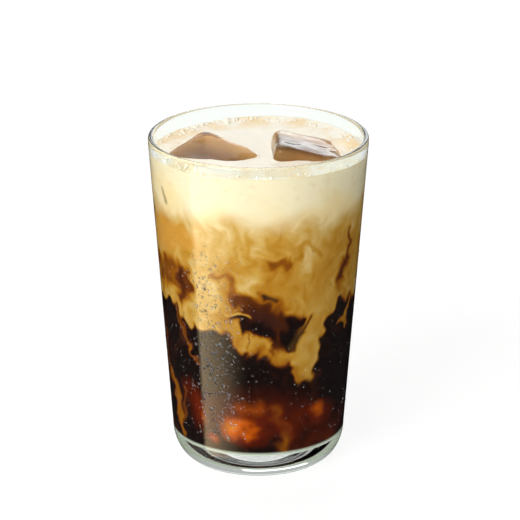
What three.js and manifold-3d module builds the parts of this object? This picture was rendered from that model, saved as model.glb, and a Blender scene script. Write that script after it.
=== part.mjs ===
// Iced coffee in a conical glass tumbler. Dark coffee stands at the bottom, a layer of milk and
// coffee hangs down into it in plumes, a pale milk foam lies on top, and two ice cubes float in it.
// Millimetres, +Z up. The origin is the middle of the foot, and the front of the glass faces -Y.
import * as THREE from "three";
import { RoundedBoxGeometry } from "three/addons/geometries/RoundedBoxGeometry.js";
import { mergeVertices } from "three/addons/utils/BufferGeometryUtils.js";
import Module from "manifold-3d";

// Tumbler
const GLASS_HEIGHT = 130;
const RIM_RADIUS = 42; // outside of the rim
const RIM_WALL = 2.3; // wall thickness at the rim
const HEEL_RADIUS = 33.3; // outside, where the straight wall ends
const HEEL_HEIGHT = 13.8; // the rounded heel below the straight wall
const HEEL_WALL = 3.1; // wall thickness just above the heel
const FOOT_RADIUS = 23.3; // outer edge of the flat ring that the glass stands on
const PUNT_RADIUS = 16.5; // shallow hollow inside that ring
const PUNT_DEPTH = 0.9;
const BASE_THICKNESS = 10.6; // glass below the drink
const FLOOR_FILLET = 3; // inside corner between floor and wall

// Drink, as levels above the table
const COFFEE_LEVEL = 72; // top of the dark coffee, between the plumes
const FOAM_BOTTOM = 108;
const FOAM_LEVEL = 124;
const GAP = 0.3; // clearance between neighbours

// Milk plumes that hang into the coffee at the wall. The angle runs from the front towards +X, in
// degrees, and the spread is the half width as an angle. The back has the same plumes, mirrored.
const FRONT_PLUMES = [
  { angle: 31, spread: 8, depth: 32 },
  { angle: 4, spread: 13, depth: 20 },
  { angle: -30, spread: 12, depth: 11 },
  { angle: -62, spread: 13, depth: 5 },
  { angle: 67, spread: 8, depth: 12 },
];
const PLUMES = FRONT_PLUMES.flatMap((plume) => [plume, { ...plume, angle: 180 - plume.angle }]);
const PLUME_FADE = 3; // power of the radius by which plumes fade towards the middle

// Foam surface
const FOAM_SWELL = 0.5; // height of the slow waves
const FOAM_LEAN = 0.6; // turn of the waves with two crests, in radians
const FOAM_THIRDS = 0.6; // share of the waves with three crests
const FOAM_CLIMB = 0.7; // how far the foam climbs the wall
const FOAM_CLING = 12; // power of the radius by which that climb fades
const FOAM_MOUND = { angle: 98, share: 0.9, height: 3.2, width: 5.5 };

// Ice cubes: size along their own axes, centre, and turns about Z, then Y, then X, in degrees
const ICE_ROUNDING = 3.6;
const ICE_DRAFT = 0.1; // how much a cube narrows from its top face to its bottom face
const ICE_CUBES = {
  ice_left: { size: [29, 27, 27], centre: [-17.6, -6.8, 112.4], turns: [-41, 8, 14] },
  ice_right: { size: [27, 28, 26], centre: [16.4, -2.6, 114.3], turns: [2, 13, -2] },
};

// Fineness of the facets
const SEGMENTS = 48;
const HEEL_STEPS = 7;
const RIM_STEPS = 3;
const FILLET_STEPS = 4;
const ICE_STEPS = 3;
const WALL_STEPS = 6;
const PLUME_SHARES = [0, 0.35, 0.6, 0.8, 0.92, 1]; // rings across the plumes, as shares of the radius
const FOAM_SHARES = [0, 0.2, 0.4, 0.6, 0.75, 0.87, 0.95, 1];
const WELD = 1e-3; // points closer than this become one

const COLOURS = {
  glass: { color: 0xeaf2ee, roughness: 0.03, transparent: true, opacity: 0.35 },
  coffee: { color: 0x1c0c06, roughness: 0.15 },
  milk_coffee: { color: 0xc2954a, roughness: 0.4 },
  foam: { color: 0xf6e9c8, roughness: 0.7 },
  ice: { color: 0xb49a78, roughness: 0.08, transparent: true, opacity: 0.6 },
};

const wasm = await Module();
wasm.setup();

const mix = THREE.MathUtils.lerp;
const radians = THREE.MathUtils.degToRad;

// Radius of the glass's inner wall at a height.
function innerRadius(z) {
  const share = (z - HEEL_HEIGHT) / (GLASS_HEIGHT - HEEL_HEIGHT);
  return mix(HEEL_RADIUS - HEEL_WALL, RIM_RADIUS - RIM_WALL, share);
}

// Points of the inside from the middle of the floor, round the fillet, to its upper end, moved
// into the drink by an inset.
function floorOutline(inset) {
  const floor = BASE_THICKNESS + inset;
  const top = floor + FLOOR_FILLET;
  const wall = innerRadius(top) - inset;
  const outline = [new THREE.Vector2(0, floor)];
  for (let i = 0; i <= FILLET_STEPS; i++) {
    const turn = (i / FILLET_STEPS) * (Math.PI / 2);
    outline.push(
      new THREE.Vector2(
        wall - FLOOR_FILLET * (1 - Math.sin(turn)),
        top - FLOOR_FILLET * Math.cos(turn),
      ),
    );
  }
  return outline;
}

// A lathe turned so that its axis is +Z and its first segment faces -Y.
function standing(outline) {
  return new THREE.LatheGeometry(outline, SEGMENTS).rotateX(Math.PI / 2);
}

// The tumbler: punt, foot ring, elliptical heel, straight wall, round rim, and the inside back down.
function tumblerGeometry() {
  const outline = [
    new THREE.Vector2(0, PUNT_DEPTH),
    new THREE.Vector2(PUNT_RADIUS - 2 * PUNT_DEPTH, PUNT_DEPTH),
    new THREE.Vector2(PUNT_RADIUS, 0),
  ];
  for (let i = 0; i <= HEEL_STEPS; i++) {
    const turn = (i / HEEL_STEPS) * (Math.PI / 2);
    outline.push(
      new THREE.Vector2(
        mix(FOOT_RADIUS, HEEL_RADIUS, Math.sin(turn)),
        HEEL_HEIGHT * (1 - Math.cos(turn)),
      ),
    );
  }
  const round = RIM_WALL / 2;
  for (let i = 0; i <= 2 * RIM_STEPS; i++) {
    const turn = (i / (2 * RIM_STEPS)) * Math.PI;
    outline.push(
      new THREE.Vector2(
        RIM_RADIUS - round + round * Math.cos(turn),
        GLASS_HEIGHT - round + round * Math.sin(turn),
      ),
    );
  }
  outline.push(...floorOutline(0).reverse());
  return standing(outline);
}

// Height of the surface between coffee and milk. Plumes hang deepest at the wall, where the share
// of the radius is 1.
function plumeLevel(angle, share) {
  let level = COFFEE_LEVEL;
  for (const plume of PLUMES) {
    const away = THREE.MathUtils.euclideanModulo(angle - plume.angle + 180, 360) - 180;
    level -= plume.depth * Math.exp(-((away / plume.spread) ** 2)) * share ** PLUME_FADE;
  }
  return level;
}

// Height of the foam's upper surface: slow waves, a climb at the wall and one mound.
function foamLevel(angle, share) {
  const turn = radians(angle);
  const waves = Math.cos(2 * turn + FOAM_LEAN) + FOAM_THIRDS * Math.sin(3 * turn);
  const side = radians(angle - FOAM_MOUND.angle);
  const wall = innerRadius(FOAM_LEVEL);
  const reach = wall * Math.hypot(share * Math.cos(side) - FOAM_MOUND.share, share * Math.sin(side));
  const mound = FOAM_MOUND.height * Math.exp(-((reach / FOAM_MOUND.width) ** 2));
  const swell = FOAM_SWELL * waves * share ** 2;
  const climb = FOAM_CLIMB * share ** FOAM_CLING;
  return FOAM_LEVEL + swell + climb + mound;
}

// A solid turned about +Z from rows that run from the middle of its bottom, out, up and back in to
// the middle of its top. Each row gives a radius and a height for an angle.
function turned(rows) {
  const geometry = standing(rows.map(() => new THREE.Vector2()));
  const place = geometry.getAttribute("position");
  for (let i = 0; i < place.count; i++) {
    const angle = ((Math.floor(i / rows.length) % SEGMENTS) * 360) / SEGMENTS;
    const [radius, z] = rows[i % rows.length](angle);
    const turn = radians(angle);
    place.setXYZ(i, radius * Math.sin(turn), -radius * Math.cos(turn), z);
  }
  return geometry;
}

// Rows across a face of the drink, from the middle to the wall.
function faceRows(surface, shares) {
  return shares.map((share) => (angle) => {
    const z = surface(angle, share);
    return [share * (innerRadius(z) - GAP), z];
  });
}

// Rows up the wall between two faces.
function wallRows(low, high) {
  const steps = Array.from({ length: WALL_STEPS - 1 }, (_, i) => (i + 1) / WALL_STEPS);
  return steps.map((step) => (angle) => {
    const z = mix(low(angle, 1), high(angle, 1), step);
    return [innerRadius(z) - GAP, z];
  });
}

// An ice cube with rounded edges and a mould's draft, grown by a clearance.
function iceGeometry(size, clearance) {
  const [x, y, z] = size.map((side) => side + 2 * clearance);
  const geometry = new RoundedBoxGeometry(x, y, z, ICE_STEPS, ICE_ROUNDING + clearance);
  const place = geometry.getAttribute("position");
  for (let i = 0; i < place.count; i++) {
    const narrow = 1 - ICE_DRAFT * (0.5 - place.getZ(i) / z);
    place.setXYZ(i, place.getX(i) * narrow, place.getY(i) * narrow, place.getZ(i));
  }
  return geometry;
}

function iceMesh(name, clearance) {
  const { size, centre, turns } = ICE_CUBES[name];
  const mesh = named(name, iceGeometry(size, clearance), "ice");
  const [aboutZ, aboutY, aboutX] = turns.map(radians);
  mesh.rotation.set(aboutX, aboutY, aboutZ, "ZYX");
  mesh.position.set(...centre);
  return mesh;
}

function named(name, geometry, look) {
  const mesh = new THREE.Mesh(geometry, new THREE.MeshStandardMaterial(COLOURS[look]));
  mesh.name = name;
  return mesh;
}

// A closed mesh as a solid that can be cut, in the group's frame.
function solidOf(mesh) {
  mesh.updateMatrix();
  const geometry = mesh.geometry.clone().applyMatrix4(mesh.matrix);
  geometry.deleteAttribute("normal");
  geometry.deleteAttribute("uv");
  const merged = mergeVertices(geometry, WELD);
  return new wasm.Manifold(
    new wasm.Mesh({
      numProp: 3,
      vertProperties: merged.getAttribute("position").array,
      triVerts: new Uint32Array(merged.getIndex().array),
    }),
  );
}

function geometryOf(solid) {
  const mesh = solid.getMesh();
  const geometry = new THREE.BufferGeometry();
  geometry.setAttribute("position", new THREE.BufferAttribute(mesh.vertProperties, 3));
  geometry.setIndex(new THREE.BufferAttribute(mesh.triVerts, 1));
  geometry.computeVertexNormals();
  return geometry;
}

// A mesh less the solids that lie in it.
function cut(mesh, tools) {
  const solid = tools.reduce((rest, tool) => rest.subtract(solidOf(tool)), solidOf(mesh));
  mesh.geometry = geometryOf(solid);
  return mesh;
}

// The dark coffee, from the glass floor up to the plumes.
function coffeeMesh() {
  const floor = floorOutline(GAP);
  const rows = [
    ...floor.map((point) => () => [point.x, point.y]),
    ...wallRows(() => floor.at(-1).y, plumeLevel),
    ...faceRows(plumeLevel, PLUME_SHARES).reverse(),
  ];
  return named("coffee", turned(rows), "coffee");
}

// What is taken out of the milky layer to leave its plumes: all up to just above the coffee, and
// wider than the drink, so that the cut goes through its side.
function plumeCutter() {
  const above = (angle, share) => plumeLevel(angle, share) + GAP;
  const wide = () => innerRadius(FOAM_BOTTOM) + RIM_WALL;
  const rows = [
    () => [0, BASE_THICKNESS],
    () => [wide(), BASE_THICKNESS],
    (angle) => [wide(), above(angle, 1)],
    ...faceRows(above, PLUME_SHARES).reverse(),
  ];
  return new THREE.Mesh(turned(rows));
}

// The layer of milk and coffee.
function milkCoffeeMesh(ice) {
  const low = () => COFFEE_LEVEL - Math.max(...PLUMES.map((plume) => plume.depth)) - GAP;
  const high = () => FOAM_BOTTOM;
  const rows = [
    ...faceRows(low, [0, 1]),
    ...wallRows(low, high),
    ...faceRows(high, [0, 1]).reverse(),
  ];
  return cut(named("milk_coffee", turned(rows), "milk_coffee"), [plumeCutter(), ...ice]);
}

// The foam, with its uneven top.
function foamMesh(ice) {
  const low = () => FOAM_BOTTOM + GAP;
  const rows = [
    ...faceRows(low, [0, 1]),
    ...wallRows(low, foamLevel),
    ...faceRows(foamLevel, FOAM_SHARES).reverse(),
  ];
  return cut(named("foam", turned(rows), "foam"), ice);
}

const iceNames = Object.keys(ICE_CUBES);
const iceRoom = iceNames.map((name) => iceMesh(name, GAP));

const drink = new THREE.Group();
drink.add(coffeeMesh(), milkCoffeeMesh(iceRoom), foamMesh(iceRoom));

const ice = new THREE.Group();
ice.add(...iceNames.map((name) => iceMesh(name, 0)));

const icedCoffee = new THREE.Group();
icedCoffee.add(named("glass", tumblerGeometry(), "glass"), drink, ice);

export default icedCoffee;
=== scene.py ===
# %% [markdown]
# # Iced coffee in a tumbler
# Milk has just been poured over coffee and ice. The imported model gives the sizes: a conical glass, dark
# coffee, a milky layer that hangs into it in plumes, foam on top and two ice cubes. In this lesson each of
# them is made again as a fine surface and gets its finish. Shapes are worked out in millimetres and stored in
# metres.

import bpy
import numpy as np
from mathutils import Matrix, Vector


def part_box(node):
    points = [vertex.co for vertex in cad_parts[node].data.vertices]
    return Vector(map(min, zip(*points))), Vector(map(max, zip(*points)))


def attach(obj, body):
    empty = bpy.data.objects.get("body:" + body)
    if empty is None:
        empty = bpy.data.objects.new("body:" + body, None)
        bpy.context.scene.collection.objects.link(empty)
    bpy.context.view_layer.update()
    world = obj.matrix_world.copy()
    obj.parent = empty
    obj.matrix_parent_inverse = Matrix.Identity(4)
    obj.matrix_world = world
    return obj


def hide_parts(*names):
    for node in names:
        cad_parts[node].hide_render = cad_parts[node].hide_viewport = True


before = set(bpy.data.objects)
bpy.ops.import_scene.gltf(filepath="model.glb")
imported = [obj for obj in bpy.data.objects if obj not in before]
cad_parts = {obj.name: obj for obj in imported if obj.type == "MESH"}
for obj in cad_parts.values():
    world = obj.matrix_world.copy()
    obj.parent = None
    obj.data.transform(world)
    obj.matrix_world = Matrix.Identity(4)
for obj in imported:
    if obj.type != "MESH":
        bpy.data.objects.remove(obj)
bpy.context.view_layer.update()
MM = 0.001

# %% [markdown]
# ## The camera
# The photograph looks down on the glass by about twenty degrees from more than a metre away, with a long
# lens, so the sides stay almost straight. A camera needs a place, a direction and a lens. Here the place
# follows from the point that it looks at, the distance and the angle, which is easier to adjust than three
# coordinates.

# %% Camera
AIM_HEIGHT = 0.0794
CAMERA_DISTANCE = 1.2145
CAMERA_ELEVATION = np.radians(19.66)
LENS = 218.8
SENSOR_WIDTH = 36
SIDEWAYS_SHIFT = 0.0031
NEAREST = 0.05


def add_camera():
    """A camera in front of the glass (-Y), raised by its elevation, that looks at the glass's axis."""
    lens = bpy.data.cameras.new("camera")
    lens.lens = LENS
    lens.sensor_width = SENSOR_WIDTH
    lens.shift_x = SIDEWAYS_SHIFT
    lens.clip_start = NEAREST
    camera = bpy.data.objects.new("camera", lens)
    back, up = np.cos(CAMERA_ELEVATION), np.sin(CAMERA_ELEVATION)
    camera.location = (0, -CAMERA_DISTANCE * back, AIM_HEIGHT + CAMERA_DISTANCE * up)
    camera.rotation_euler = (np.pi / 2 - CAMERA_ELEVATION, 0, 0)
    bpy.context.scene.collection.objects.link(camera)
    bpy.context.scene.camera = camera
    return camera


print("camera at", tuple(round(v, 3) for v in add_camera().location))

# %% [markdown]
# ## Meshes from arrays
# Everything round here is a closed skin: a pole, then rings of points, then another pole. The faces between
# rings are the same for every such skin, so one function numbers them and another fills a mesh. Arrays go into
# the mesh whole, which is far quicker than adding vertices one by one.

# %% Skins
def skin_faces(rings, around):
    """Quads between neighbouring rings, and a fan of triangles from each pole to its nearest ring."""
    here = np.arange(around)
    after = np.roll(here, -1)
    start = 1 + np.arange(rings - 1)[:, None] * around
    quads = np.stack([start + here, start + after, start + around + after, start + around + here], axis=-1)
    last = 1 + (rings - 1) * around
    first_fan = np.stack([np.zeros_like(here), 1 + after, 1 + here], axis=-1)
    last_fan = np.stack([last + here, last + after, np.full(around, last + around)], axis=-1)
    return [first_fan, quads.reshape(-1, 4), last_fan]


def fill_mesh(name, points, faces, colours=None):
    """Puts points, in millimetres, and arrays of triangles or quads into a smooth mesh object.

    Colours, where given, are one linear colour for each point, kept as the attribute "tint". A fourth number,
    where given, is the attribute's alpha.
    """
    mesh = bpy.data.meshes.new(name)
    corners = np.concatenate([face.ravel() for face in faces])
    sizes = np.concatenate([np.full(len(face), face.shape[1]) for face in faces])
    mesh.vertices.add(len(points))
    mesh.vertices.foreach_set("co", (points * MM).ravel())
    mesh.loops.add(len(corners))
    mesh.loops.foreach_set("vertex_index", corners)
    mesh.polygons.add(len(sizes))
    mesh.polygons.foreach_set("loop_start", np.cumsum(sizes) - sizes)
    mesh.update(calc_edges=True)
    mesh.shade_smooth()
    if colours is not None:
        tint = mesh.attributes.new("tint", "FLOAT_COLOR", "POINT")
        full = np.concatenate([colours, np.ones((len(points), 1))], axis=1)[:, :4]
        tint.data.foreach_set("color", full.ravel())
    piece = bpy.data.objects.new(name, mesh)
    bpy.context.scene.collection.objects.link(piece)
    print(name, "has", int((sizes - 2).sum()), "triangles")
    return piece


def with_poles(grid):
    """Flattens a grid of rings by points to a list whose first and last ring are one point each."""
    return np.concatenate([grid[0, :1], grid[1:-1].reshape(-1, grid.shape[-1]), grid[-1, :1]])


def place(piece, slot, *nodes):
    """Fixes a piece to the model's one body and hides the CAD nodes that it stands for. The slot is not used."""
    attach(piece, "root")
    if nodes:
        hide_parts(*nodes)
    return piece


# %% [markdown]
# ## The tumbler
# A pressed glass is thick at the base, thins towards a round rim, and stands on a narrow ring round a
# shallow hollow. It is a body of revolution, so its outline is drawn once and turned. The outline's parts
# meet at small angles that molten glass would have rounded. Resampling the outline at even steps and
# averaging neighbours a few times rounds them, and the refractions in the base stay soft.

# %% Glass sizes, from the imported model
glass_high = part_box("glass")[1]
GLASS_HEIGHT = glass_high.z / MM
RIM_RADIUS = glass_high.x / MM
RIM_WALL = 2.3
HEEL_RADIUS = 33.3
HEEL_HEIGHT = 13.8
HEEL_WALL = 3.1
FOOT_RADIUS = 23.3
PUNT_RADIUS = 16.5
PUNT_DEPTH = 0.9
BASE_THICKNESS = 10.6
FLOOR_FILLET = 3.0
FLOOR_POINTS = 12
HEEL_POINTS = 20
RIM_POINTS = 16


def inner_radius(height):
    """Radius of the straight inner wall: a line from just above the heel to the rim."""
    share = (height - HEEL_HEIGHT) / (GLASS_HEIGHT - HEEL_HEIGHT)
    return (HEEL_RADIUS - HEEL_WALL) + share * (RIM_RADIUS - RIM_WALL - HEEL_RADIUS + HEEL_WALL)


def quarter(count):
    """Even turns from 0 to a right angle."""
    return np.linspace(0, np.pi / 2, count)


def floor_outline(sink):
    """The inside from the middle of the floor round its fillet, moved outwards into the glass by sink."""
    turn = quarter(FLOOR_POINTS)
    top = BASE_THICKNESS - sink + FLOOR_FILLET
    radius = inner_radius(top) + sink - FLOOR_FILLET * (1 - np.sin(turn))
    height = top - FLOOR_FILLET * np.cos(turn)
    across = np.linspace(0, radius[0], FLOOR_POINTS)[:-1]
    flat = np.stack([across, np.full_like(across, height[0])], axis=-1)
    return np.concatenate([flat, np.stack([radius, height], axis=-1)])


def even_outline(outline, step, passes):
    """Resamples an outline at equal steps of its length, then averages neighbours, keeping both ends."""
    lengths = np.concatenate([[0], np.cumsum(np.hypot(*np.diff(outline, axis=0).T))])
    stations = np.linspace(0, lengths[-1], int(lengths[-1] / step))
    even = np.stack([np.interp(stations, lengths, column) for column in outline.T], axis=-1)
    for _ in range(passes):
        even[1:-1] = (even[:-2] + 2 * even[1:-1] + even[2:]) / 4
    return even


def tumbler_outline():
    """Punt, foot ring, elliptical heel, straight wall, half-round rim, and the inside back to the middle."""
    punt = np.array([[0, PUNT_DEPTH], [PUNT_RADIUS - 2 * PUNT_DEPTH, PUNT_DEPTH], [PUNT_RADIUS, 0]])
    turn = quarter(HEEL_POINTS)
    heel_radius = FOOT_RADIUS + (HEEL_RADIUS - FOOT_RADIUS) * np.sin(turn)
    heel = np.stack([heel_radius, HEEL_HEIGHT * (1 - np.cos(turn))], axis=-1)
    turn = np.linspace(0, np.pi, RIM_POINTS)
    bead = RIM_WALL / 2
    rim = np.stack([np.cos(turn), np.sin(turn)], axis=-1) * bead + [RIM_RADIUS - bead, GLASS_HEIGHT - bead]
    return np.concatenate([punt, heel, rim, floor_outline(0)[::-1]])


def turned(outline, around):
    """Carries an outline of (radius, height) round the axis, starting at the front (-Y) and going to +X."""
    turn = np.linspace(0, 2 * np.pi, around, endpoint=False)
    radius, height = outline[:, :1], outline[:, 1:]
    level = height + 0 * turn
    return np.stack([radius * np.sin(turn), -radius * np.cos(turn), level], axis=-1)


GLASS_AROUND = 150
GLASS_STEP = 0.5
GLASS_ROUNDING = 3
outline = even_outline(tumbler_outline(), GLASS_STEP, GLASS_ROUNDING)
outline[[0, -1], 0] = 0
glass_points = with_poles(turned(outline, GLASS_AROUND))
glass = fill_mesh("tumbler", glass_points, skin_faces(len(outline) - 2, GLASS_AROUND))
place(glass, "glass", "glass")

# %% [markdown]
# ## Smooth noise
# Milk in coffee has no straight edge anywhere. Gradient noise gives a smooth random number for each point of
# space: every whole coordinate gets a random direction, and between them the slopes are blended. Layers of it
# at several sizes make clouds. Because it lives in space, it runs round the glass without a seam.

# %% Noise
SEED = 41
TABLE = 256
LAST = TABLE - 1
NOISE_GAIN = 1.6
LAYER_SHIFT = 7.3  # keeps the layers of a cloud from lining up
chance = np.random.default_rng(SEED)
SHUFFLE = chance.permutation(TABLE)
SLOPES = chance.normal(size=(TABLE, 3))
SLOPES /= np.linalg.norm(SLOPES, axis=1, keepdims=True)


def noise(points):
    """Gradient noise, about -1 to 1: at each corner of a unit cell a slope times the offset, then blended."""
    cell = np.floor(points).astype(int)
    part = points - cell
    blend = part**3 * (part * (part * 6 - 15) + 10)
    total = np.zeros(points.shape[:-1])
    for corner in np.ndindex(2, 2, 2):
        x, y, z = np.moveaxis((cell + corner) & LAST, -1, 0)
        slope = SLOPES[SHUFFLE[(SHUFFLE[(SHUFFLE[x] + y) & LAST] + z) & LAST]]
        weight = np.prod(np.where(np.array(corner) == 1, blend, 1 - blend), axis=-1)
        total += weight * np.sum(slope * (part - corner), axis=-1)
    return NOISE_GAIN * total


def clouds(points, size, layers=3, seed=0.0):
    """Noise of a size in millimetres, plus finer layers, each half as large and half as strong."""
    total = 0
    for layer in range(layers):
        total = total + noise(points * 2**layer / size + seed + LAYER_SHIFT * layer) / 2**layer
    return total


def step(low, high, value):
    """0 below low, 1 above high, and a smooth slope between."""
    share = np.clip((value - low) / (high - low), 0, 1)
    return share * share * (3 - 2 * share)


# %% [markdown]
# ## Where the layers meet
# Milk is heavier than it looks: where it has been poured down the wall it sinks into the coffee in plumes.
# The surface between the two is one formula of the angle round the glass and the share of the radius, the same
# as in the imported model. The back isn't shown, so it carries the front's plumes mirrored.

# %% Levels
COFFEE_LEVEL = 72.0
FOAM_BOTTOM = 108.0
FOAM_LEVEL = 124.0
FRONT_PLUMES = (  # angle from the front towards +X, half width, both in degrees, and depth
    (31, 8, 32),
    (4, 13, 20),
    (-30, 12, 11),
    (-62, 13, 5),
    (67, 8, 12),
)
PLUME_FADE = 3
FOAM_SWELL = 0.5
FOAM_LEAN = 0.6
FOAM_THIRDS = 0.6
FOAM_CLIMB = 0.7
FOAM_CLING = 12
MOUND_ANGLE = 98
MOUND_SHARE = 0.9
MOUND_HEIGHT = 3.2
MOUND_WIDTH = 5.5


def turn_between(angle, other):
    """The shorter way round from one angle to another, in degrees."""
    return (angle - other + 180) % 360 - 180


def plume_level(angle, share):
    """Height of the coffee: its level less a bell for each plume, which a power of the share fades inwards."""
    level = COFFEE_LEVEL + 0 * angle
    for centre, spread, depth in FRONT_PLUMES:
        for place_of in (centre, 180 - centre):
            bell = np.exp(-((turn_between(angle, place_of) / spread) ** 2))
            level = level - depth * bell * share**PLUME_FADE
    return level


def foam_level(angle, share):
    """Height of the foam: its level plus slow waves, a climb at the wall and one mound beside the ice."""
    turn = np.radians(angle)
    waves = np.cos(2 * turn + FOAM_LEAN) + FOAM_THIRDS * np.sin(3 * turn)
    side = np.radians(angle - MOUND_ANGLE)
    reach = inner_radius(FOAM_LEVEL) * np.hypot(share * np.cos(side) - MOUND_SHARE, share * np.sin(side))
    mound = MOUND_HEIGHT * np.exp(-((reach / MOUND_WIDTH) ** 2))
    return FOAM_LEVEL + FOAM_SWELL * waves * share**2 + FOAM_CLIMB * share**FOAM_CLING + mound


print("coffee up to", COFFEE_LEVEL, "mm, foam from", FOAM_BOTTOM, "to", FOAM_LEVEL, "mm")

# %% [markdown]
# ## Painting the drink
# Seen through the wall, the drink is a painting: cream, caramel, amber and near-black, with soft and hard
# edges. A picture would do it, but this model carries none. What shows at a point depends on how much milk lies
# between it and the dark: none is black, a little is red-brown, more is amber, then gold, caramel and cream. So
# the wall gets one number, the milk, and a row of colours turns it into a painting whose edges all have the
# right fringe. Strokes, as on canvas, set the milk along chains of points. All positions are first stirred by a
# swirling field, so that edges curl as liquid does. A field that only swirls, and never gathers, is the curl of
# a cloud.

# %% Colours
def linear(red, green, blue):
    """A screen colour, 0 to 255, as linear light."""
    screen = np.array([red, green, blue]) / 255
    return np.where(screen < 0.04045, screen / 12.92, ((screen + 0.055) / 1.055) ** 2.4)


MILK_COLOURS = (  # from no milk to much, at even steps
    linear(20, 9, 7),
    linear(52, 20, 9),
    linear(108, 52, 12),
    linear(164, 98, 16),
    linear(188, 132, 38),
    linear(204, 156, 66),
    linear(216, 178, 104),
    linear(232, 206, 150),
    linear(246, 228, 184),
)
CREAM = linear(249, 235, 202)
FOAM_WHITE = linear(253, 246, 230)
FOAM_YELLOW = linear(248, 220, 160)
AMBER = linear(236, 146, 30)
EMBER = linear(222, 100, 8)
GARNET = linear(104, 30, 6)
OLIVE = linear(72, 62, 30)
PLUM = linear(60, 30, 26)
ORANGE_TAN = linear(216, 156, 66)
# Painted light: a pale colour on the drink's underside stands in for the light in the glass's base, where the
# coffee would be dark.
PAINTED_BASE_LIGHT = linear(214, 222, 202)  # the underside, which lights up the glass's base

# %% Strokes of milk
# Each has an amount of milk, a strength, a softness in mm, then (angle, height, half width) along it.
STROKES = (
    # plumes at the front
    (0.72, 1.0, 1.2, (-34, 73, 7.5), (-33, 67.5, 6.5)),
    (0.54, 1.0, 1.4, (-22, 67, 4), (-15, 61, 3.6), (-6, 58, 3.2), (4, 55, 3.2), (14, 54, 3), (22, 54, 3.5)),
    (0.38, 0.8, 2.0, (-4, 54.5, 2), (10, 52.5, 2.2), (20, 51, 2)),
    (0.60, 1.0, 1.0, (42, 74, 7), (37, 66, 5.2), (33, 58, 5), (31.5, 50, 5.8), (30.5, 46, 5)),
    (0.36, 0.6, 1.6, (24, 46, 1.6), (31, 41.5, 1.8)),
    (0.62, 1.0, 1.0, (-76, 72, 2.5), (-58, 70.5, 3), (-46, 67, 4)),
    (0.42, 0.95, 0.6, (70, 68, 0.8), (68, 63, 1.2), (66, 60.5, 1.8), (68, 57, 1.1)),
    (0.42, 0.9, 0.6, (66, 61, 1.4), (61, 62, 1.1)),
    # clouds of less milk above them
    (0.50, 0.7, 3.0, (18, 84, 4), (30, 80, 5), (44, 84, 5)),
    (0.52, 0.7, 3.0, (50, 98, 5), (66, 92, 6), (78, 86, 6)),
    (0.80, 0.7, 3.0, (-34, 98, 6), (-34, 82, 6)),
    (0.74, 0.6, 2.0, (-6, 84, 4.5), (-5, 80, 3.6)),
    # coffee that shows between them
    (0.27, 0.9, 2.4, (-80, 83, 5), (-62, 81, 6), (-50, 78, 5.5)),
    (0.42, 0.8, 1.4, (-80, 80, 1.6), (-77, 73, 2.2)),
    (0.15, 0.85, 1.6, (-52, 82, 1.8), (-51, 77, 2), (-53, 71, 2)),
    (0.18, 0.8, 1.2, (-46, 84, 1.0), (-45, 78, 1.4)),
    (0.32, 0.9, 1.2, (-25, 87, 1.0), (-17, 85.5, 1.3), (-14, 80.5, 1.4), (-11, 77, 1.5)),
    (0.30, 0.85, 1.6, (-14, 77, 2.8), (0, 73.5, 3.8), (12, 70, 3.4)),
    (0.20, 0.9, 1.3, (-13, 76, 1.7), (-4, 74.8, 2.1), (2, 72, 1.6)),
    (0.15, 0.95, 1.4, (-9, 71.5, 1.8), (0, 68.5, 3.4), (7, 68.5, 3.1), (13, 67, 2.4)),
    (0.15, 0.92, 1.2, (12.5, 66, 2), (11.5, 60, 1.7), (11.5, 55.5, 1.2)),
    (0.16, 0.95, 0.6, (33, 69, 0.4), (30, 64.5, 0.9), (25, 61, 1.3), (22, 58.5, 1.7), (24, 57, 1.1)),
    (0.40, 0.85, 1.2, (5, 76, 3.0), (7.5, 75.7, 2.8)),
    (0.10, 0.95, 0.8, (6, 75.8, 1.5), (6.8, 75.3, 1.4)),
    (0.44, 0.8, 1.6, (3, 90.2, 2.4), (16, 89.8, 2.4)),
    (0.29, 0.95, 1.0, (6, 91.2, 1.8), (15, 90.8, 1.8)),
    (0.44, 0.7, 1.2, (21, 91, 1.2), (26, 95, 1.2), (31, 96.3, 1.2), (37, 93, 1.2)),
    (0.34, 0.85, 2.0, (64, 95, 0.8), (62, 89, 2), (59, 83, 3), (58, 77, 2.6)),
    (0.18, 0.9, 1.0, (64, 97.5, 0.9), (63.5, 95, 0.8), (60, 85, 1.2), (58.5, 79, 1.3)),
    (0.08, 0.9, 1.4, (90, 76, 3), (85, 64, 3), (87, 50, 3.4)),
    (0.02, 0.97, 0.6, (57, 70, 0.9), (52, 65.5, 1.5), (48, 60, 2.4), (46, 52, 3)),
    (0.22, 0.8, 0.4, (-9, 63.5, 0.3), (-7, 57, 0.35)),
    (0.20, 0.8, 0.8, (8, 54.5, 0.9), (9, 53.5, 0.7)),
    (0.85, 0.8, 0.6, (-17, 70.5, 0.6), (-8, 68.6, 0.5)),
    # threads of milk in the coffee
    (0.36, 0.8, 0.7, (-61, 67, 0.8), (-51, 56, 0.8), (-43, 48.5, 0.7), (-40, 43, 0.4)),
    (0.36, 0.75, 0.6, (-56, 66, 0.5), (-51, 59, 0.6), (-48, 53, 0.4)),
    (0.28, 0.8, 1.8, (-88, 66, 2), (-82, 50, 2.4), (-78, 36, 2.2)),
    (0.37, 0.95, 1.6, (-72, 38, 2.4), (-68, 28, 3.2), (-65, 17, 2.4)),
    (0.33, 0.8, 1.2, (-57, 34, 1.2), (-60, 22, 1.4)),
    (0.32, 0.95, 2.2, (9, 30.5, 2.4), (13, 26.5, 3), (18, 22, 3.2), (20, 17, 2.6), (15, 12.5, 2)),
    (0.24, 0.6, 2.4, (30, 13.5, 1.6), (60, 13, 1.6)),
)

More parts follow.
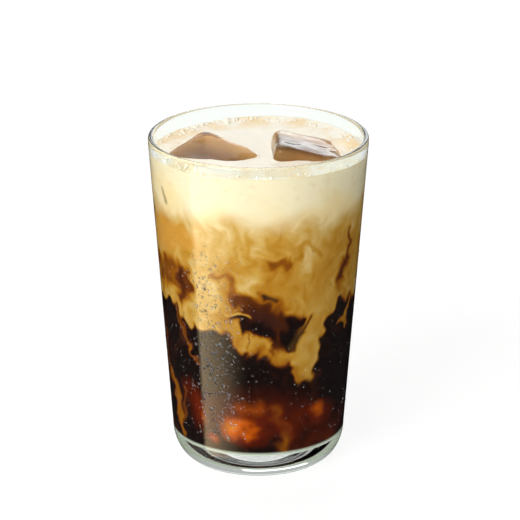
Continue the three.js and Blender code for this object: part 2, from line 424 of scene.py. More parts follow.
# %% Strokes of colour: what the light does in sunken ice and thin places, laid on last
GLINTS = (
    (ORANGE_TAN, 0.65, 2.4, (-80, 97, 6), (-62, 97, 8), (-48, 97, 5)),
    (OLIVE, 0.5, 1.0, (31, 66, 0.8), (25, 61, 1.2), (22, 58.5, 1.5)),
    (OLIVE, 0.5, 0.9, (6, 76.4, 1.2), (7, 75.8, 1.2)),
    (GARNET, 0.9, 0.3, (5, 75.4, 0.3), (5.4, 75.2, 0.3)),
    (PLUM, 0.5, 1.2, (-4, 68.5, 2), (9, 66, 2)),
    (GARNET, 0.42, 7.0, (-40, 30, 5), (0, 30, 7), (30, 28, 6)),
    (GARNET, 0.3, 7.0, (45, 20, 5), (70, 18, 5)),
    (GARNET, 0.6, 4.0, (-52, 34, 3), (-42, 22, 3)),
    (GARNET, 0.75, 5.0, (-20, 25, 4), (4, 24, 5), (20, 22, 4)),
    (GARNET, 0.6, 4.0, (30, 28, 3), (50, 24, 4)),
    (EMBER, 0.4, 3.0, (-16, 31, 1.5), (0, 32, 1.5)),
    (GARNET, 0.5, 4.0, (28, 15, 2), (62, 15, 2)),
)

# %% Strokes in the foam: its yellow side, and corners of ice that touch the wall
ICE_CORNER = linear(104, 76, 40)
ICE_SHADOW = linear(70, 50, 30)
CORNERS = (
    (FOAM_YELLOW, 0.6, 8.0, (-84, 114, 5), (-62, 116, 5)),
    (ICE_CORNER, 0.75, 0.9, (-65, 115.5, 0.6), (-62, 112, 0.9)),
    (ICE_SHADOW, 0.8, 1.0, (-86, 103, 1.0), (-86, 98, 1.2)),
)
print(len(STROKES), "strokes of milk,", len(GLINTS), "of colour and", len(CORNERS), "in the foam")

# %% The painter
MIDDLE_RADIUS = 35.0
ARC = MIDDLE_RADIUS * np.pi / 180  # millimetres of wall in one degree
MILK_EDGE = 69.0
STIR_STEPS = 4
STIR_NUDGE = 0.1
WIDE_STIR = (14, 0.08, 2.0)  # size of the swirls in mm, reach as a share of it, seed
CLOSE_STIR = (5, 0.16, 6.0)
FINE_STIR = (1.8, 0.08, 9.0)
GLINT_STIR = (5, 0.07, 6.0)
WISP_MILK = 0.16
BODY_MILK = 0.53
BODY_RISE = 0.2
BODY_CLOUDS = 0.2
RAGGED_EDGE = 1.5
VEIN_MILK = 0.16
FOAM_YELLOWING = 0.7
FOAM_SPECKLING = 0.16


def wall_points(arc, height):
    """Points of the wall in space, for an arc length and a height, at a middling radius."""
    turn = arc / MIDDLE_RADIUS
    return np.stack([MIDDLE_RADIUS * np.sin(turn), -MIDDLE_RADIUS * np.cos(turn), height], axis=-1)


def stirred(arc, height, size, reach, seed):
    """Carries points along a swirling field in a few short steps: the field is the curl of a cloud.

    The size is that of the swirls, in millimetres, and the reach is a share of it.
    """
    push = size * size * reach / STIR_STEPS / STIR_NUDGE
    for _ in range(STIR_STEPS):
        still = noise(wall_points(arc, height) / size + seed)
        along = noise(wall_points(arc + STIR_NUDGE, height) / size + seed) - still
        above = noise(wall_points(arc, height + STIR_NUDGE) / size + seed) - still
        arc, height = arc + above * push, height - along * push
    return arc, height


def stroke_depth(arc, height, chain, turn, mirrored):
    """How far each point lies inside a stroke: half width less distance, the largest of the chain's parts."""
    chain = np.array(chain, dtype=float)
    angles = turn - chain[:, 0] if mirrored else turn + chain[:, 0]
    away = turn_between(arc / ARC, angles[0]) * ARC
    places = np.stack([(angles - angles[0]) * ARC, chain[:, 1]], axis=-1)
    deepest = np.full(arc.shape, -1e9)
    for (start, end), (wide, narrow) in zip(zip(places, places[1:]), zip(chain[:, 2], chain[1:, 2])):
        run = end - start
        share = ((away - start[0]) * run[0] + (height - start[1]) * run[1]) / max(run @ run, 1e-6)
        share = np.clip(share, 0, 1)
        gap = np.hypot(away - start[0] - share * run[0], height - start[1] - share * run[1])
        deepest = np.maximum(deepest, wide + (narrow - wide) * share - gap)
    return deepest


def stroked(under, arc, height, strokes):
    """Lays strokes of milk or colour over what is there, at the front and mirrored at the back."""
    for turn, mirrored in ((0, False), (180, True)):
        for paint, strength, softness, *chain in strokes:
            cover = strength * step(-softness, softness, stroke_depth(arc, height, chain, turn, mirrored))
            under = blended(under, paint, cover)
    return under


def blended(under, over, strength):
    """One number or colour laid over another by a strength from 0 to 1."""
    return under + (over - under) * strength.reshape(strength.shape + (1,) * (under.ndim - strength.ndim))


def ramp(value, *stops):
    """A colour for each value, read between evenly spaced stops from 0 to 1."""
    places = np.linspace(0, 1, len(stops))
    return np.stack([np.interp(value, places, column) for column in np.array(stops).T], axis=-1)


def milk_amount(arc, height):
    """How much milk shows: none below a ragged edge, clouded milk above it, then the strokes."""
    points = wall_points(arc, height)
    wisps = WISP_MILK * step(0.2, 1.0, clouds(points * [1, 1, 0.4], 8, seed=3))
    rise = (height - MILK_EDGE) / (FOAM_BOTTOM - MILK_EDGE)
    body = BODY_MILK + BODY_RISE * rise + BODY_CLOUDS * clouds(points * [1, 1, 0.7], 11, layers=3, seed=9)
    edge = step(-1.6, 2.2, height - MILK_EDGE + RAGGED_EDGE * clouds(points, 12, layers=2, seed=17))
    milk = stroked(blended(wisps, body, edge), arc, height, STROKES)
    veins = clouds(points * [1, 1, 0.55], 3.6, layers=3, seed=27)
    return milk * (1 + VEIN_MILK * veins)


def drink_colours(angle, height):
    """The painting at an angle and a height of the wall: stirred milk as colours, glints, the foam, then painted
    light on the underside.
    """
    calm = stirred(angle * ARC, height, *WIDE_STIR)
    arc, level = stirred(*calm, *CLOSE_STIR)
    arc, level = stirred(arc, level, *FINE_STIR)
    milk_paint = ramp(milk_amount(arc, level), *MILK_COLOURS)
    colours = stroked(milk_paint, *stirred(*calm, *GLINT_STIR), GLINTS)
    points = wall_points(angle * ARC, height)
    patches = step(-0.2, 0.9, clouds(points, 16, layers=2, seed=21) + (114 - height) * 0.08)
    foam = blended(CREAM + 0 * points, FOAM_YELLOW, FOAM_YELLOWING * patches)
    specks = step(0.1, 0.8, clouds(points * [1, 1, 1.4], 3, layers=3, seed=71)) * step(110, 120, height)
    foam = blended(foam, ORANGE_TAN, FOAM_SPECKLING * specks)
    lightness = step(-6.5, 4.5, calm[1] - FOAM_BOTTOM + 2.4 * clouds(points, 10, layers=2, seed=5))
    colours = stroked(blended(colours, foam, lightness), *calm, CORNERS)
    # Painted light: the underside and the foot of the side turn pale, for the light in the glass's base.
    return blended(colours, PAINTED_BASE_LIGHT, step(BASE_THICKNESS + 2, BASE_THICKNESS + 1, height))


# %% [markdown]
# ## The coffee and the milky layer
# What fills a glass has to reach just into its wall. If the two surfaces only touched, a film of air would
# show between them as a silver sheen. Each layer is a closed skin: a lower face, a side with the glass's slope,
# and an upper face. Rows up the side are close together, because each of its points carries a painted colour.

# %% Layers
SINK = 0.25
CORNER = 0.0006  # share of a side or a face that the shading's turn at an edge takes
DRINK_AROUND = 560
COFFEE_SIDE_ROWS = 116
MILK_SIDE_ROWS = 110
angles = np.arange(DRINK_AROUND) * 360 / DRINK_AROUND


def side_radius(height):
    """Radius of the drink's side, a little way into the glass wall."""
    return inner_radius(height) + SINK


def face_rows(surface, shares):
    """Rings across an upper or lower face, for shares of the radius: radius and height at every angle."""
    level = np.array([surface(angles, share) for share in shares])
    return np.stack([np.array(shares)[:, None] * side_radius(level), level], axis=-1)


def side_rows(low, high, rows):
    """Rings up the side between two heights at every angle, without the ends.

    The first and the last ring lie close to the ends, so that smooth shading turns the corner at once.
    """
    share = np.linspace(0, 1, rows)
    share[[0, -1]] = CORNER, 1 - CORNER
    level = low + (high - low) * share[:, None]
    return np.stack([side_radius(level), level], axis=-1)


def round_the_axis(rows):
    """Turns rings of (radius, height) into points in space."""
    turn = np.radians(angles)
    radius, height = rows[..., 0], rows[..., 1]
    return np.stack([radius * np.sin(turn), -radius * np.cos(turn), height], axis=-1)


def painted_layer(name, rows):
    """A closed skin from rings of (radius, height), with the wall's painting as its tint."""
    heights = rows[..., 1]
    colours = drink_colours(angles + 0 * heights, heights)
    return fill_mesh(name, with_poles(round_the_axis(rows)), skin_faces(len(rows) - 2, DRINK_AROUND),
                     with_poles(colours))


def foam_floor(angle, share):
    """The level face between the milky layer and the foam."""
    return FOAM_BOTTOM + 0 * angle


INNER_SHARES = (0.0, 0.2, 0.4, 0.55, 0.68, 0.78, 0.86, 0.92, 0.96, 0.985, 1 - CORNER, 1.0)
FLAT_SHARES = (0.0, 0.5, 1 - CORNER, 1.0)
bowl = floor_outline(SINK)[:, None, :] + np.zeros((1, DRINK_AROUND, 1))
meeting = plume_level(angles, 1)
coffee_rows = np.concatenate([
    bowl,
    side_rows(bowl[-1, :, 1], meeting, COFFEE_SIDE_ROWS),
    face_rows(plume_level, INNER_SHARES)[::-1],
])
coffee = place(painted_layer("coffee_layer", coffee_rows), "coffee", "coffee")
level_top = np.full(DRINK_AROUND, FOAM_BOTTOM)
milk_rows = np.concatenate([
    face_rows(plume_level, INNER_SHARES),
    side_rows(meeting, level_top, MILK_SIDE_ROWS),
    face_rows(foam_floor, FLAT_SHARES)[::-1],
])
milk = place(painted_layer("milky_layer", milk_rows), "milk_coffee", "milk_coffee")

# %% [markdown]
# ## Ice sunk in the coffee
# More ice lies at the bottom, against the wall. Light that goes into it comes back orange, because it has
# passed through coffee. Only the side that touches the glass shows, so each piece is a flat rounded block bent
# to the wall, with its outer face a hair in front of the coffee. Its glow is strongest at one place and fades
# to garnet, and at the edge it turns into the painting round it, as coffee lies between the ice and the glass
# there.

# %% Sunken ice
PROUD = 0.2
BLOCK_DEPTH = 6.0
BLOCK_POWER = 3.0
FLATNESS = 0.12  # power that flattens the block's two faces
GLOW_MIDDLE = 1.05
GLOW_FALL = 0.75
GLOW_CRACKS = 0.24
SUNK_ICE = {  # angle, height, half width, half height, lean in degrees, place of the glow, its strength
    "sunk_ice_front": (-7, 21, 14.5, 9, -7, (-0.55, 0.1), 0.8),
    "sunk_ice_left": (-44, 29, 4.6, 12, 14, (0.2, -0.3), 0.44),
    "sunk_ice_right": (42, 25.5, 7.5, 7.8, 16, (0.3, 0.4), 0.55),
    "sunk_ice_small": (-33, 17, 5.0, 3.6, -24, (0.1, 0.0), 0.5),
}


def sunk_block(angle, height, half_width, half_height, lean, glow_at, strength, rings=44, around=72):
    """From the middle of the inner face over the edge to that of the outer one: powers of sine and cosine.

    The outline is the curve whose powers of width and height add up to one, turned by the lean.
    """
    swing = np.linspace(0, np.pi, rings)[:, None]
    turn = np.linspace(0, 2 * np.pi, around, endpoint=False)
    share = np.clip(np.sin(swing), 0, None)
    inward = BLOCK_DEPTH * (1 + np.sign(np.cos(swing)) * np.abs(np.cos(swing)) ** FLATNESS) / 2
    powers = np.abs(np.cos(turn)) ** BLOCK_POWER + np.abs(np.sin(turn)) ** BLOCK_POWER
    outline = powers ** (-1 / BLOCK_POWER)
    across, along = share * outline * np.cos(turn), share * outline * np.sin(turn)
    tip = np.radians(lean)
    level = height + across * half_width * np.sin(tip) + along * half_height * np.cos(tip)
    sideways = across * half_width * np.cos(tip) - along * half_height * np.sin(tip)
    radius = side_radius(level) + PROUD - inward
    bearing = angle + np.degrees(sideways / side_radius(level))
    facing = np.radians(bearing)
    points = np.stack([radius * np.sin(facing), -radius * np.cos(facing), level], axis=-1)
    cracks = clouds(points, 5, layers=3, seed=61)
    from_glow = np.hypot(across - glow_at[0], along - glow_at[1])
    glow = strength * (GLOW_MIDDLE - GLOW_FALL * from_glow + GLOW_CRACKS * cracks)
    colours = ramp(np.clip(glow, 0, 1), MILK_COLOURS[0], GARNET, EMBER, AMBER)
    colours = blended(colours, drink_colours(bearing, level), step(0.4, 0.86, share + 0.1 * cracks))
    return points, colours


sunken = []
for name, shape in SUNK_ICE.items():
    grid, glow_colours = sunk_block(*shape)
    faces = skin_faces(len(grid) - 2, grid.shape[1])
    block = fill_mesh(name, with_poles(grid), faces, with_poles(glow_colours))
    sunken.append(place(block, "ice"))

# %% [markdown]
# ## Ice cubes
# An ice cube from a tray has flat faces, but a few minutes in a drink round its edges and hollow it a little.
# The surface whose tenth powers of x, y and z add up to one is such a cube, and it is a function of two angles,
# like a globe. Clouds then dent it, and a slight taper gives the tray's draft.

# %% Cubes
CUBE_POWER = 10
CUBE_DRAFT = 0.1
DENT_SIZE = 9
DENT_DEPTH = 0.35
CUBES = {  # full size, centre, and turns about Z, Y and X in degrees
    "ice_left": ((29, 27, 27), (-17.6, -6.8, 112.4), (-41, 8, 14)),
    "ice_right": ((27, 28, 26), (16.4, -2.6, 114.3), (2, 13, -2)),
}


def turn_matrix(turns):
    """Rotation about Z, Y and X: the product of the three single turns."""
    (cz, cy, cx), (sz, sy, sx) = np.cos(np.radians(turns)), np.sin(np.radians(turns))
    about_z = np.array([[cz, -sz, 0], [sz, cz, 0], [0, 0, 1]])
    about_y = np.array([[cy, 0, sy], [0, 1, 0], [-sy, 0, cy]])
    about_x = np.array([[1, 0, 0], [0, cx, -sx], [0, sx, cx]])
    return about_z @ about_y @ about_x


def cube_points(size, centre, turns, down=72, around=120):
    """Each direction of a globe times the distance at which the powers of its parts add up to one."""
    tilt = np.linspace(0, np.pi, down)[::-1, None]
    turn = np.linspace(0, 2 * np.pi, around, endpoint=False)
    level = np.cos(tilt) + 0 * turn
    ray = np.stack([np.sin(tilt) * np.cos(turn), np.sin(tilt) * np.sin(turn), level], axis=-1)
    unit = ray / np.sum(np.abs(ray) ** CUBE_POWER, axis=-1, keepdims=True) ** (1 / CUBE_POWER)
    body = unit * np.array(size) / 2
    body[..., :2] *= 1 - CUBE_DRAFT * (0.5 - unit[..., 2:] / 2)
    dents = clouds(body + np.array(centre), DENT_SIZE, layers=2) * DENT_DEPTH
    body *= 1 + dents[..., None] / (np.max(size) / 2)
    return body @ turn_matrix(turns).T + centre


def inside_cube(points, size, centre, turns):
    """Below 1 inside a cube and above 1 outside: the root of the sum of powers in the cube's own axes."""
    body = (points - np.array(centre)) @ turn_matrix(turns)
    half = np.array(size) / 2
    body[..., :2] /= 1 - CUBE_DRAFT * (0.5 - body[..., 2:] / half[2] / 2)
    return np.sum(np.abs(body / half) ** CUBE_POWER, axis=-1) ** (1 / CUBE_POWER)


ice_cubes = []
for node, shape in CUBES.items():
    grid = cube_points(*shape)
    cube = fill_mesh(node + "_melted", with_poles(grid), skin_faces(len(grid) - 2, grid.shape[1]))
    ice_cubes.append(place(cube, "ice", node))

# %% [markdown]
# ## The foam
# The foam's top is a height for each point of a disc: slow waves, fine lumps, and a small rise where it clings
# to the ice. Under each cube it dips into a pit, so that the clear ice shows a brown hollow and not white foam.
# Its side carries the wall's painting, and its top has its own: white in the middle and peach at the edge,
# where coffee has soaked up.

# %% Foam
TOP_SHARES = np.linspace(0, 1, 96)
FOAM_SIDE_ROWS = 40
PIT_DEPTH = 11.0
LUMP_HEIGHT = 0.3
CLING_HEIGHT = 0.6
CLING_REACH = 0.05
SOAKING = 0.8
PEACH = linear(247, 216, 160)
PIT_BROWN = linear(128, 80, 30)


def top_place(share):
    """Points of the foam's top before its relief, for one share of the radius."""
    level = foam_level(angles, share)
    turn = np.radians(angles)
    radius = share * side_radius(level)
    return np.stack([radius * np.sin(turn), -radius * np.cos(turn), level], axis=-1)


top = np.array([top_place(share) for share in TOP_SHARES])
in_ice = np.min([inside_cube(top, *shape) for shape in CUBES.values()], axis=0)
fade = (1 - TOP_SHARES**8)[:, None]
pit = step(0.99, 0.86, in_ice)
lumps = LUMP_HEIGHT * clouds(top, 7, layers=4, seed=13)
cling = CLING_HEIGHT * np.exp(-np.clip(in_ice - 1, 0, None) / CLING_REACH)
relief = lumps * fade + cling * fade
top_heights = top[..., 2] + relief * (1 - pit) - PIT_DEPTH * pit
edge = step(0.55, 0.95, TOP_SHARES)[:, None]
soaked = np.clip(edge * step(-0.35, 0.5, clouds(top, 10, layers=3, seed=31)), 0, 1)
top_colours = blended(FOAM_WHITE + 0 * top, PEACH, SOAKING * soaked)
top_colours = blended(top_colours, PIT_BROWN, pit)

side_top = top_heights[-1]
foam_low = face_rows(foam_floor, FLAT_SHARES)
foam_side = side_rows(level_top, side_top, FOAM_SIDE_ROWS)
foam_top = np.stack([np.hypot(top[..., 0], top[..., 1]), top_heights], axis=-1)
foam_rows = np.concatenate([foam_low, foam_side, foam_top[::-1]])
wall_part = len(foam_low) + len(foam_side)
wall_colours = drink_colours(angles + 0 * foam_rows[:wall_part, :, 1], foam_rows[:wall_part, :, 1])
in_glass = np.ones((len(foam_rows), DRINK_AROUND, 1))
in_glass[wall_part:] = 0
foam_colours = np.concatenate([np.concatenate([wall_colours, top_colours[::-1]]), in_glass], axis=-1)
foam_faces = skin_faces(len(foam_rows) - 2, DRINK_AROUND)
foam = fill_mesh("foam_top", with_poles(round_the_axis(foam_rows)), foam_faces, with_poles(foam_colours))
place(foam, "foam", "foam")

# %% [markdown]
# ## Dew on the glass
# A cold glass gathers dew: hundreds of tiny drops, dense in places and missing in others. Each is a flattened
# cap of a sphere on the wall, with a few dozen faces, and all of them are one mesh, worked out at once: the
# drops' places times the cap's shape. Many places are drawn, and only those in a dense patch are kept.

# %% Dew
DROPS = 9000
CAP_RINGS = 4
CAP_AROUND = 8
CAP_ROOT = -0.3
CAP_SINK = 0.1
DROP_HEIGHT = 0.7
DEW_FRONT = -27
DEW_BACK = 150
DEW_WIDTH = 17


def outer_radius(height):
    """Radius of the straight outer wall."""
    share = (height - HEEL_HEIGHT) / (GLASS_HEIGHT - HEEL_HEIGHT)
    return HEEL_RADIUS + share * (RIM_RADIUS - HEEL_RADIUS)


def caps(angle, height, size, flatness):
    """Domes on the wall: rings at even turns from a cap's rim to its top, and a pole sunk in the glass."""
    turn = np.linspace(0, 2 * np.pi, CAP_AROUND, endpoint=False)
    lift = quarter(CAP_RINGS + 1)[:-1, None]
    pole = np.zeros((1, CAP_AROUND))
    across = np.concatenate([pole, np.cos(lift) * np.cos(turn), pole])
    along = np.concatenate([pole, np.cos(lift) * np.sin(turn), pole])
    proud = np.concatenate([pole + CAP_ROOT, np.sin(lift) + 0 * turn, pole + 1])
    size = size[:, None, None]
    level = height[:, None, None] + along * size
    radius = outer_radius(level) + (proud * flatness - CAP_SINK) * size
    bearing = np.radians(angle)[:, None, None] + across * size / radius
    return np.stack([radius * np.sin(bearing), -radius * np.cos(bearing), level], axis=-1)


def many_skins(grids):
    """Joins skins of one pattern: their points in a row, and the pattern's faces moved on for each."""
    rings = grids[:, 1:-1].reshape(len(grids), -1, 3)
    points = np.concatenate([grids[:, 0, :1], rings, grids[:, -1, :1]], axis=1)
    moves = np.arange(len(grids))[:, None, None] * points.shape[1]
    pattern = skin_faces(grids.shape[1] - 2, grids.shape[2])
    faces = [(face + moves).reshape(-1, face.shape[1]) for face in pattern]
    return points.reshape(-1, 3), faces


dew_angle = chance.uniform(-180, 180, DROPS)
dew_height = chance.uniform(17, 100, DROPS)
crowd = clouds(wall_points(dew_angle * ARC, dew_height), 18, layers=2, seed=50)
front_patch = np.exp(-(((dew_angle - DEW_FRONT) / DEW_WIDTH) ** 2))
back_patch = np.exp(-((turn_between(dew_angle, DEW_BACK) / DEW_WIDTH) ** 2))
patch = front_patch + 0.8 * back_patch
kept = patch * step(106, 84, dew_height) + 0.1 + 0.2 * crowd > chance.uniform(0, 1.0, DROPS)
dew_size = np.clip(chance.lognormal(-1.0, 0.4, DROPS) * (0.5 + 0.5 * patch), 0.1, 0.75)
dew_caps = caps(dew_angle[kept], dew_height[kept], dew_size[kept], DROP_HEIGHT)
dew = fill_mesh("dew", *many_skins(dew_caps))
place(dew, "glass")

# %% [markdown]
# ## Bubbles in the foam
# Fine foam is too small to model, but a row of larger bubbles stays where it meets the glass. Each is a small
# ball, sunk in the foam to its middle, and they are joined in one mesh as the dew is.

# %% Bubbles
BUBBLES = 240


def domes(angle, share, size):
    """Round caps on the foam: rings from a sunken pole to a top pole, at a share of the radius."""
    turn = np.linspace(0, 2 * np.pi, CAP_AROUND, endpoint=False)
    tilt = np.linspace(-np.pi / 2, np.pi / 2, CAP_RINGS + 3)[:, None]
    level = foam_level(angle, share)
    radius = share * (inner_radius(level) - size)
    facing = np.radians(angle)
    middle = np.stack([radius * np.sin(facing), -radius * np.cos(facing), level], axis=-1)
    lift = np.sin(tilt) + 0 * turn
    ball = np.stack([np.cos(tilt) * np.cos(turn), np.cos(tilt) * np.sin(turn), lift], axis=-1)
    return middle[:, None, None, :] + ball * size[:, None, None, None]


rows_of_them = chance.uniform(0, 1, BUBBLES) < 0.5
bubble_angle = np.where(rows_of_them, chance.uniform(193, 222, BUBBLES), chance.uniform(0, 360, BUBBLES))
bubble_share = np.where(rows_of_them, chance.uniform(0.95, 1.0, BUBBLES), chance.uniform(0.88, 1.0, BUBBLES))
bubble_size = np.clip(chance.lognormal(-0.75, 0.4, BUBBLES), 0.2, 1.1)
bubble_points, bubble_faces = many_skins(domes(bubble_angle, bubble_share, bubble_size))
bubble_tint = np.concatenate([FOAM_WHITE, [0.0]]) + np.zeros((len(bubble_points), 1))
bubbles = place(fill_mesh("bubbles", bubble_points, bubble_faces, bubble_tint), "foam")

# %% [markdown]
# ## Writing finishes as expressions
# A material is a graph of nodes. Written node by node it is long and hard to read, so one small class wraps a
# node's output: adding or multiplying two of them adds the Math node for it. Another class adds any other node
# from its type, its settings and its sockets.

# %% Finish helpers
class Value:
    """A node's output; the operators add Math nodes to its finish."""

    def __init__(self, finish, socket):
        self.finish = finish
        self.socket = socket

    def out(self, name):
        return Value(self.finish, self.socket.node.outputs[name])

    def __add__(self, other):
        return self.finish.math("ADD", self, other)

    def __radd__(self, other):
        return self.finish.math("ADD", other, self)

    def __mul__(self, other):
        return self.finish.math("MULTIPLY", self, other)

    def __rmul__(self, other):
        return self.finish.math("MULTIPLY", other, self)


class Finish:
    """A node tree that is filled by expressions."""

    def __init__(self, owner):
        owner.use_nodes = True
        self.owner = owner
        self.tree = owner.node_tree
        self.tree.nodes.clear()

    def node(self, kind, settings, sockets):
        """Adds a node, sets its settings, then fills its sockets with numbers, colours or links."""
        made = self.tree.nodes.new(kind)
        for name, setting in settings.items():
            setattr(made, name, setting)
        for name, given in sockets.items():
            if isinstance(given, Value):
                self.tree.links.new(given.socket, made.inputs[name])
            else:
                made.inputs[name].default_value = given
        return Value(self, next((out for out in made.outputs if out.enabled), None))

    def math(self, operation, first, second):
        return self.node("ShaderNodeMath", {"operation": operation}, {0: first, 1: second})

    def noise(self, scale, detail=3.0):
        """Noise on Object coordinates, 0 to 1, with a scale in lumps for each metre."""
        where = self.node("ShaderNodeTexCoord", {}, {}).out("Object")
        return self.node("ShaderNodeTexNoise", {}, {"Vector": where, "Scale": scale, "Detail": detail})

    def mixed(self, share, first, second):
        """A colour between two others."""
        sockets = {"Factor": share, 6: first, 7: second}
        return self.node("ShaderNodeMix", {"data_type": "RGBA"}, sockets).out("Result")

    def end(self, shader):
        """Feeds the output node of a material or of the world, and returns the material or the world."""
        of_world = isinstance(self.owner, bpy.types.World)
        kind = "ShaderNodeOutputWorld" if of_world else "ShaderNodeOutputMaterial"
        self.node(kind, {}, {"Surface": shader})
        return self.owner


def colour(red, green, blue):
    """A screen colour as a linear colour with full opacity, as sockets take it."""
    return (*linear(red, green, blue), 1)


# %% [markdown]
# ## Glass, water and ice
# Clear things are made by refraction. A path tracer finds it hard to send a lamp's light through a refracting
# wall, and the drink would stay dark. So shadow rays pass straight through the glass: a Mix Shader gives them a
# transparent one instead. Ice is refraction too, with a little brown cloud in it.

# %% Clear finishes
GLASS_BEND = 1.5
DEW_BEND = 1.33
ICE_BEND = 1.31
WHITE = (1, 1, 1, 1)
GLASS_SHADE = (0.95, 0.96, 0.955, 1)
ICE_SHADE = (0.8, 0.72, 0.6, 1)


def clear_finish(name, tint, bend, shade):
    """A refracting finish that lets lamps through."""
    finish = Finish(bpy.data.materials.new(name))
    wall = finish.node("ShaderNodeBsdfPrincipled", {}, {
        "Base Color": tint, "Roughness": 0.0, "IOR": bend, "Transmission Weight": 1.0})
    passing = finish.node("ShaderNodeBsdfTransparent", {}, {"Color": shade})
    is_shadow = finish.node("ShaderNodeLightPath", {}, {}).out("Is Shadow Ray")
    return finish.end(finish.node("ShaderNodeMixShader", {}, {0: is_shadow, 1: wall, 2: passing}))


def ice_finish():
    """Wet ice: refraction, with a brown cloud that a noise varies, and lamps pass through it."""
    finish = Finish(bpy.data.materials.new("wet_ice"))
    cloud = finish.noise(160)
    tint = finish.mixed(cloud, colour(176, 120, 54), colour(224, 182, 116))
    body = finish.node("ShaderNodeBsdfPrincipled", {}, {
        "Base Color": tint, "Roughness": 0.03, "IOR": ICE_BEND, "Transmission Weight": 0.8})
    passing = finish.node("ShaderNodeBsdfTransparent", {}, {"Color": ICE_SHADE})
    is_shadow = finish.node("ShaderNodeLightPath", {}, {}).out("Is Shadow Ray")
    return finish.end(finish.node("ShaderNodeMixShader", {}, {0: is_shadow, 1: body, 2: passing}))


glass.data.materials.append(clear_finish("clear_glass", colour(248, 254, 250), GLASS_BEND, GLASS_SHADE))
dew.data.materials.append(clear_finish("dew_water", WHITE, DEW_BEND, WHITE))
for cube in ice_cubes:
    cube.data.materials.append(ice_finish())

# %% [markdown]
# ## The drink's finish
# Coffee and milk lie against the glass, and water bends light less than glass does. So a ray that comes through
# the glass at a low angle doesn't enter the drink: it is thrown back, and the base and the sides of a full glass
# look clear. A Fresnel node with the ratio of the two gives exactly that share of mirror. The colour is the
# painted tint, and a fine noise breaks it up between the mesh's points. The foam's top meets air, so there the
# tint's alpha is zero and it has only a weak, broad shine.

# %% Drink finishes
DRINK_BEND = 1.34
DRINK_TO_GLASS = DRINK_BEND / GLASS_BEND


def drink_finish(name, shine, roughness, grain_strength):
    """The painted tint, which a fine noise lightens and darkens, with a mirror at low angles in the glass."""
    finish = Finish(bpy.data.materials.new(name))
    tint = finish.node("ShaderNodeAttribute", {"attribute_name": "tint"}, {}).out("Color")
    grain = finish.noise(900, 2.0)
    share = 1 - grain_strength + grain * (2 * grain_strength)
    grey = finish.node("ShaderNodeCombineColor", {}, {"Red": share, "Green": share, "Blue": share})
    broken = finish.node("ShaderNodeMix", {"data_type": "RGBA", "blend_type": "MULTIPLY"},
                         {"Factor": 1.0, 6: tint, 7: grey}).out("Result")
    drink = finish.node("ShaderNodeBsdfPrincipled", {}, {
        "Base Color": broken, "Roughness": roughness, "Specular IOR Level": shine})
    mirror = finish.node("ShaderNodeBsdfAnisotropic", {}, {"Color": WHITE, "Roughness": 0.0})
    thrown_back = finish.node("ShaderNodeFresnel", {}, {"IOR": DRINK_TO_GLASS}) * tint.out("Alpha")
    return finish.end(finish.node("ShaderNodeMixShader", {}, {0: thrown_back, 1: drink, 2: mirror}))


coffee.data.materials.append(drink_finish("coffee_finish", 0.0, 0.5, 0.08))
milk.data.materials.append(drink_finish("milk_finish", 0.0, 0.5, 0.06))
foam.data.materials.append(drink_finish("foam_finish", 0.15, 0.55, 0.02))
bubbles.data.materials.append(drink_finish("bubble_finish", 0.6, 0.12, 0.02))
sunken_finish = drink_finish("sunken_ice_finish", 0.0, 0.5, 0.1)
for block in sunken:
    block.data.materials.append(sunken_finish)

# %% [markdown]
# ## Floor and light
# The picture has a white ground with a soft shadow and a large light from the upper left. A second lamp behind
# the glass and a pale sky lift the rest, and the paper glows a little, as a lit table does. The glass's wall
# leans, so from the camera it mirrors what lies low in front of it. A white floor there would lay a grey veil
# over the coffee, so the floor is hidden from reflections. A warm card at the left gives the one soft stripe on
# the glass, and a cool card behind it gives the shine on the ice. Light goes to and fro between the faces of a
# thick glass base many times, so reflections are followed further than Blender does unasked.

# %% Floor
FLOOR_HALF = 3000.0
FLOOR_GLOW = 0.74


def add_floor():
    """A level square sheet of white paper under the glass, as a grid of two by two points."""
    across, along = np.meshgrid([-FLOOR_HALF, FLOOR_HALF], [-FLOOR_HALF, FLOOR_HALF])
    points = np.stack([across.ravel(), along.ravel(), 0 * across.ravel()], axis=-1)
    floor = fill_mesh("floor", points, [np.array([[0, 1, 3, 2]])])
    finish = Finish(bpy.data.materials.new("white_paper"))
    paper = finish.node("ShaderNodeBsdfPrincipled", {}, {
        "Base Color": colour(158, 158, 158), "Roughness": 0.9, "Specular IOR Level": 0.0,
        "Emission Color": WHITE, "Emission Strength": FLOOR_GLOW})
    floor.data.materials.append(finish.end(paper))
    floor.visible_glossy = False
    return floor


add_floor()

# %% Light
LAMP_AIM = (0, 0, 0.07)
CARD_REACH = 600.0
CARD_COLUMNS = 24
CARD_SOFT_EDGE = 0.1
SKY_DARK = (0.004, 0.004, 0.004, 1)
SKY_STRENGTH = 0.55
GLASS_REFLECTIONS = 12


def add_lamp(name, place_at, size, power):
    """A square soft lamp that looks at the middle of the glass."""
    lamp = bpy.data.lights.new(name, "AREA")
    lamp.size = size
    lamp.energy = power
    stand = bpy.data.objects.new(name, lamp)
    stand.location = place_at
    away = np.array(place_at) - LAMP_AIM
    flat = np.hypot(away[0], away[1])
    stand.rotation_euler = (np.arctan2(flat, away[2]), 0, np.arctan2(away[0], -away[1]))
    stand.visible_camera = False
    bpy.context.scene.collection.objects.link(stand)
    return stand


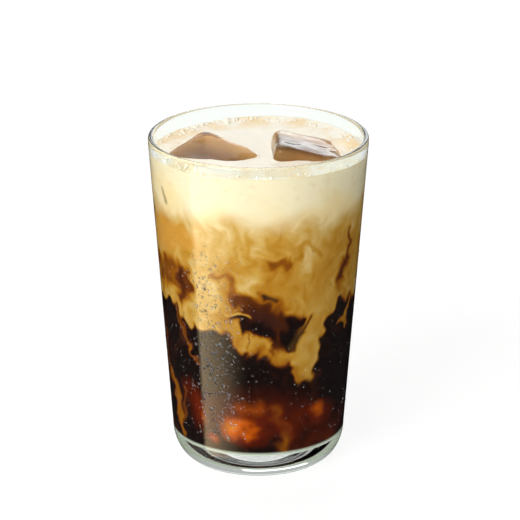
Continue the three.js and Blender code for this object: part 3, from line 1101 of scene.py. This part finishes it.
def add_card(name, from_bearing, to_bearing, low, high, tint, strength, fade):
    """A glowing card seen only in reflections: a bent sheet between two bearings, which fades to one side."""
    across, along = np.meshgrid(np.linspace(0, 1, CARD_COLUMNS), np.linspace(0, 1, 2))
    bearing = np.radians(from_bearing + (to_bearing - from_bearing) * across)
    level = low + (high - low) * along
    points = np.stack([CARD_REACH * np.sin(bearing), -CARD_REACH * np.cos(bearing), level], axis=-1)
    first = np.arange(CARD_COLUMNS - 1)
    above = first + CARD_COLUMNS
    quads = np.stack([first, first + 1, above + 1, above], axis=-1)
    glow = step(1.0, 1.0 - fade, across) * step(0, CARD_SOFT_EDGE, across)
    card = fill_mesh(name, points.reshape(-1, 3), [quads], glow.reshape(-1, 1) * np.array(tint))
    finish = Finish(bpy.data.materials.new(name + "_glow"))
    lit = finish.node("ShaderNodeAttribute", {"attribute_name": "tint"}, {}).out("Color")
    shining = finish.node("ShaderNodeEmission", {}, {"Color": lit, "Strength": strength})
    card.data.materials.append(finish.end(shining))
    card.visible_camera = False
    card.visible_diffuse = False
    card.visible_transmission = False
    card.visible_shadow = False
    return card


def add_sky():
    """White light from above, greyer at the sides for the glass's edges, and darkness below the horizon."""
    finish = Finish(bpy.data.worlds.new("studio"))
    direction = finish.node("ShaderNodeTexCoord", {}, {}).out("Generated")
    parts = finish.node("ShaderNodeSeparateXYZ", {}, {"Vector": direction})
    aside = parts.out("X") * parts.out("X")
    bright = finish.node("ShaderNodeMapRange", {}, {
        "Value": aside, "From Min": 0.5, "From Max": 0.95, "To Min": 1.0, "To Max": 0.3})
    share = finish.node("ShaderNodeMapRange", {}, {
        "Value": parts.out("Z"), "From Min": -0.03, "From Max": 0.06})
    shade = finish.mixed(share * bright, SKY_DARK, WHITE)
    sky = finish.node("ShaderNodeBackground", {}, {"Color": shade, "Strength": SKY_STRENGTH})
    bpy.context.scene.world = finish.end(sky)


add_lamp("key", (-0.6, -0.9, 0.75), 0.7, 9)
add_lamp("back", (-0.2, 1.0, 0.9), 0.9, 4)
add_card("veil_card", -80, -12, -560, 60, (1.0, 0.76, 0.46), 4.4, 1.0)
add_card("back_card", 150, 196, 180, 420, (0.9, 0.97, 1.0), 3.0, 0.5)
add_sky()
bpy.context.scene.cycles.glossy_bounces = GLASS_REFLECTIONS
bpy.context.scene.view_settings.view_transform = "Standard"
